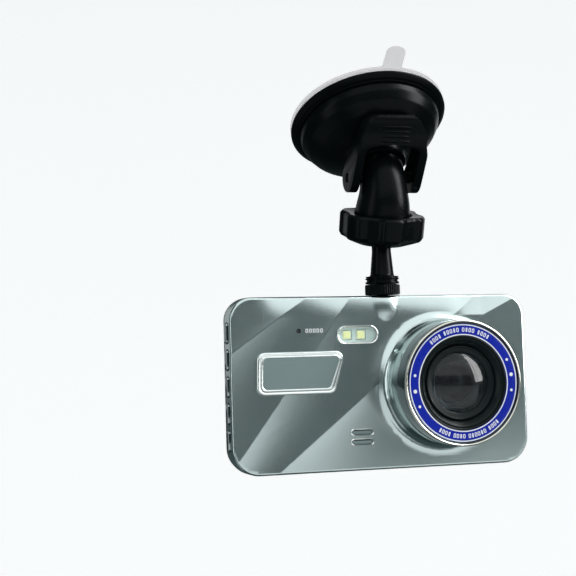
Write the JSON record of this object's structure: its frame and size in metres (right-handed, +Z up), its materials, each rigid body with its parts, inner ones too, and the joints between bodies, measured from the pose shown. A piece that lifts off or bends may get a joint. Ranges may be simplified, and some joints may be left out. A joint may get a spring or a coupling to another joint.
{
  "type": "dash camera",
  "caption": "Dash camera with a slim silver body, a projecting round lens, a rear screen and side keys, hung from a ball-jointed suction mount with a cam lever.",
  "frame": {"origin": "centre of the suction face, on the outside of its protective film", "axes": "+Z up as the camera hangs, +Y from the lens towards the screen, +X to the right as seen from the front"},
  "size_m": [0.1138, 0.0604, 0.148],
  "materials": {
    "silver_shell": "satin grey-green metallic paint on a moulded shell",
    "plate_silver": "satin plate with a bright bevelled rim",
    "black_case": "fine moulded black",
    "screen_gloss": "black glossy cover",
    "display": "dark display module",
    "circuit_board": "green solder mask",
    "chip": "moulded black",
    "battery_wrap": "foil pouch",
    "steel": "plated",
    "jack_plastic": "black",
    "key_gloss": "smoked bright plating: black where they face the dark, white where they catch the light",
    "reset_plastic": "dark",
    "chrome": "bright plated trim",
    "lamp_clear": "clear moulded window",
    "lamp_chip": "pale yellow lamp chip",
    "dark_chrome": "smoked bright plating",
    "blue_print": "deep blue printed ring with white ticks",
    "lens_black": "dark grey anodised look",
    "lens_glass": "coated glass",
    "sensor": "sensor face",
    "brass": "turned",
    "mount_plastic": "satin moulded black",
    "seat_nylon": "dark nylon",
    "cup_rubber": "soft black",
    "gel": "clear tacky gel",
    "film_clear": "thin clear protective film"
  },
  "bodies": {
    "suction_base": {"cup_housing": "mount_plastic", "suction_cup": "cup_rubber", "gel_pad": "gel", "elbow_arm": "mount_plastic"},
    "film": {"protective_film": "film_clear"},
    "post": {"draw_post": "seat_nylon", "lever_pin": "steel"},
    "lever": {"cam_lever": "mount_plastic"},
    "nut": {"lock_nut": "mount_plastic"},
    "seat": {"ball_seat": "seat_nylon"},
    "stud": {"ball_stud": "mount_plastic"},
    "thumb": {"thumb_nut": "mount_plastic"},
    "camera": {"front_shell": "silver_shell", "rear_frame": "black_case", "screen_glass": "screen_gloss", "lcd_panel": "display", "main_board": "circuit_board", "processor": "chip", "battery": "battery_wrap", "speaker": "chip", "microphone": "steel", "board_screw_1": "steel", "board_screw_2": "steel", "board_screw_3": "steel", "board_screw_4": "steel", "usb_port": "steel", "av_jack": "jack_plastic", "card_slot": "steel", "key_board": "circuit_board", "reset_switch": "chip", "lamp_bezel": "chrome", "lamp_window": "lamp_clear", "lamp_board": "circuit_board", "lamp_led_1": "lamp_chip", "lamp_led_2": "lamp_chip", "name_plate": "plate_silver", "lens_collar": "dark_chrome", "trim_ring": "chrome", "blue_ring": "blue_print", "lens_bezel": "lens_black", "lens_barrel": "lens_black", "lens_retainer": "lens_black", "front_lens": "lens_glass", "inner_lens": "lens_glass", "image_sensor": "sensor", "sensor_board": "circuit_board", "mount_insert": "brass"},
    "button_power": {"button_power": "key_gloss"},
    "button_menu": {"button_menu": "key_gloss"},
    "button_up": {"button_up": "key_gloss"},
    "button_ok": {"button_ok": "key_gloss"},
    "button_down": {"button_down": "key_gloss"},
    "reset": {"reset_button": "reset_plastic"}
  },
  "joints": [
    {"name": "film_peel", "type": "slide", "parent": "suction_base", "child": "film", "axis": [0, 0.4787, 0.878], "range_m": [0, 0.03]},
    {"name": "post_slide", "type": "slide", "parent": "suction_base", "child": "post", "axis": [0, 0.4787, 0.878], "range_m": [0, 0.002]},
    {"name": "lever_turn", "type": "hinge", "parent": "post", "child": "lever", "pos_m": [0, -0.0134, -0.02458], "axis": [1, 0, 0], "range_deg": [0, 75]},
    {"name": "lock_nut_turn", "type": "hinge", "parent": "suction_base", "child": "nut", "pos_m": [0, -0.01072, -0.04487], "axis": [0, -0.2723, 0.9622], "range_deg": [0, 180]},
    {"name": "ball_pan", "type": "hinge", "parent": "suction_base", "child": "seat", "pos_m": [0, -0.01072, -0.04487], "axis": [0, -0.2723, 0.9622], "continuous": true},
    {"name": "ball_tilt", "type": "hinge", "parent": "seat", "child": "stud", "pos_m": [0, -0.01072, -0.04487], "axis": [1, 0, 0], "range_deg": [-14, 45]},
    {"name": "camera_swivel", "type": "hinge", "parent": "stud", "child": "camera", "pos_m": [0, -0.01072, -0.06687], "axis": [0, 0, 1], "range_deg": [-180, 180]},
    {"name": "thumb_nut_turn", "type": "hinge", "parent": "stud", "child": "thumb", "pos_m": [0, -0.01072, -0.06657], "axis": [0, 0, 1], "continuous": true},
    {"name": "button_power_press", "type": "slide", "parent": "camera", "child": "button_power", "axis": [1, 0, 0], "range_m": [0, 0.0004], "stiffness_N_per_m": 800, "springref_m": -0.0006},
    {"name": "button_menu_press", "type": "slide", "parent": "camera", "child": "button_menu", "axis": [1, 0, 0], "range_m": [0, 0.0004], "stiffness_N_per_m": 800, "springref_m": -0.0006},
    {"name": "button_up_press", "type": "slide", "parent": "camera", "child": "button_up", "axis": [1, 0, 0], "range_m": [0, 0.0004], "stiffness_N_per_m": 800, "springref_m": -0.0006},
    {"name": "button_ok_press", "type": "slide", "parent": "camera", "child": "button_ok", "axis": [1, 0, 0], "range_m": [0, 0.0004], "stiffness_N_per_m": 800, "springref_m": -0.0006},
    {"name": "button_down_press", "type": "slide", "parent": "camera", "child": "button_down", "axis": [1, 0, 0], "range_m": [0, 0.0004], "stiffness_N_per_m": 800, "springref_m": -0.0006},
    {"name": "reset_press", "type": "slide", "parent": "camera", "child": "reset", "axis": [0, 1, 0], "range_m": [0, 0.00025], "stiffness_N_per_m": 800, "springref_m": -0.0005}
  ],
  "couplings": [
    {"joint": "lever_turn", "follows": "post_slide", "rad_per_m": 653.84}
  ]
}
